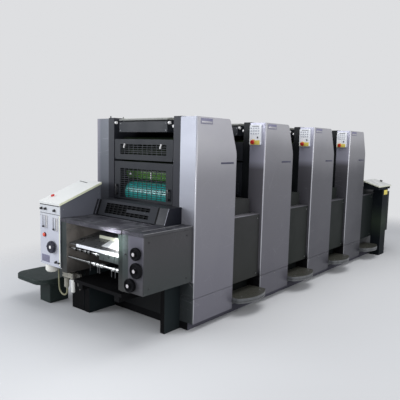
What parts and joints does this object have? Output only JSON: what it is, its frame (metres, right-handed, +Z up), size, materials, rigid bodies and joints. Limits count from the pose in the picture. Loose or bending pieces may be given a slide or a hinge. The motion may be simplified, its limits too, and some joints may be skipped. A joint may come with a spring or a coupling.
{
  "type": "offset printing press",
  "caption": "Sheet-fed offset printing press with inline printing units, low-pile delivery with console, and feeder.",
  "frame": {"origin": "on the floor, on the centre line of the machine, midway between the second and the third printing unit", "axes": "+X along the machine from the delivery to the feeder, -Y towards the operator side with the foot steps, +Z up"},
  "size_m": [4.7393, 1.772, 1.586],
  "materials": {
    "frame_paint": "satin",
    "panel_silver": "satin metallic",
    "cover_paint": "semi-gloss",
    "table_paint": "scuffed satin",
    "guard_paint": "satin",
    "roller_rubber": "semi-gloss",
    "plate_green": "semi-gloss",
    "console_white": "satin",
    "button_red": "gloss",
    "step_grit": "matt grit",
    "guide_steel": "brushed",
    "console_dark": "semi-gloss",
    "black_plastic": "gloss",
    "hose_plastic": "satin"
  },
  "bodies": {
    "machine": {"unit_frames": "frame_paint", "unit_walls": "frame_paint", "base_frame": "frame_paint", "delivery_frames": "frame_paint", "delivery_legs": "frame_paint", "delivery_pile_board": "frame_paint", "feeder_frames": "frame_paint", "feeder_pile_board": "frame_paint", "sheet_stops": "frame_paint", "operator_panels": "panel_silver", "drive_panels": "panel_silver", "lower_covers": "cover_paint", "transfer_housings": "cover_paint", "delivery_housing": "cover_paint", "hood_end_covers": "cover_paint", "ink_ducts": "cover_paint", "delivery_table": "table_paint", "delivery_hood": "table_paint", "feeder_board": "table_paint", "rear_unit_guards": "guard_paint", "rear_unit_cylinders": "roller_rubber", "ink_rollers": "roller_rubber", "unit_control_panels": "console_white", "console_face": "console_white", "console_lid": "console_white", "feeder_console_lid": "console_white", "powder_cup": "console_white", "duct_end_knobs": "console_white", "stop_buttons": "button_red", "foot_steps": "step_grit", "sheet_guide": "guide_steel", "suction_head": "guide_steel", "flow_meters": "guide_steel", "air_filters": "guide_steel", "console_body": "console_dark", "feeder_console": "console_dark", "console_knobs": "black_plastic", "hose_gland": "black_plastic", "side_step": "step_grit", "air_hose": "hose_plastic"},
    "upper_guard_body": {"upper_guard": "guard_paint"},
    "lower_guard_body": {"lower_guard": "guard_paint"},
    "blanket_cylinder_body": {"blanket_cylinder": "roller_rubber"},
    "plate_cylinder_body": {"plate_cylinder": "plate_green"},
    "cover_body": {"delivery_cover": "table_paint"},
    "handwheel_1_body": {"handwheel_1": "black_plastic"},
    "handwheel_2_body": {"handwheel_2": "black_plastic"},
    "handwheel_3_body": {"handwheel_3": "black_plastic"},
    "regulator_body": {"regulator_knob": "black_plastic"}
  },
  "joints": [
    {"name": "cover_hinge", "type": "hinge", "parent": "machine", "child": "cover_body", "pos_m": [-1.541, 0, 0.784], "axis": [0, 1, 0], "range_deg": [0, 65]},
    {"name": "lower_guard_hinge", "type": "hinge", "parent": "machine", "child": "lower_guard_body", "pos_m": [-1.326, 0, 1.217], "axis": [0, 1, 0], "range_deg": [0, 85]},
    {"name": "upper_guard_hinge", "type": "hinge", "parent": "machine", "child": "upper_guard_body", "pos_m": [-1.326, 0, 1.244], "axis": [0, -1, 0], "range_deg": [0, 70]},
    {"name": "blanket_cylinder_spin", "type": "hinge", "parent": "machine", "child": "blanket_cylinder_body", "pos_m": [-1.21, 0, 0.971], "axis": [0, 1, 0], "continuous": true},
    {"name": "plate_cylinder_spin", "type": "hinge", "parent": "machine", "child": "plate_cylinder_body", "pos_m": [-1.12315, 0, 1.13434], "axis": [0, 1, 0], "continuous": true},
    {"name": "handwheel_1_spin", "type": "hinge", "parent": "machine", "child": "handwheel_1_body", "pos_m": [-1.83, -0.483, 0.656], "axis": [1, 0, 0], "continuous": true},
    {"name": "handwheel_2_spin", "type": "hinge", "parent": "machine", "child": "handwheel_2_body", "pos_m": [-1.83, -0.489, 0.546], "axis": [1, 0, 0], "continuous": true},
    {"name": "handwheel_3_spin", "type": "hinge", "parent": "machine", "child": "handwheel_3_body", "pos_m": [-1.83, -0.43, 0.437], "axis": [1, 0, 0], "continuous": true},
    {"name": "regulator_turn", "type": "hinge", "parent": "machine", "child": "regulator_body", "pos_m": [-1.83, 0.471, 0.554], "axis": [1, 0, 0], "range_deg": [0, 270]}
  ],
  "couplings": [
    {"joint": "plate_cylinder_spin", "follows": "blanket_cylinder_spin", "ratio": -1}
  ]
}
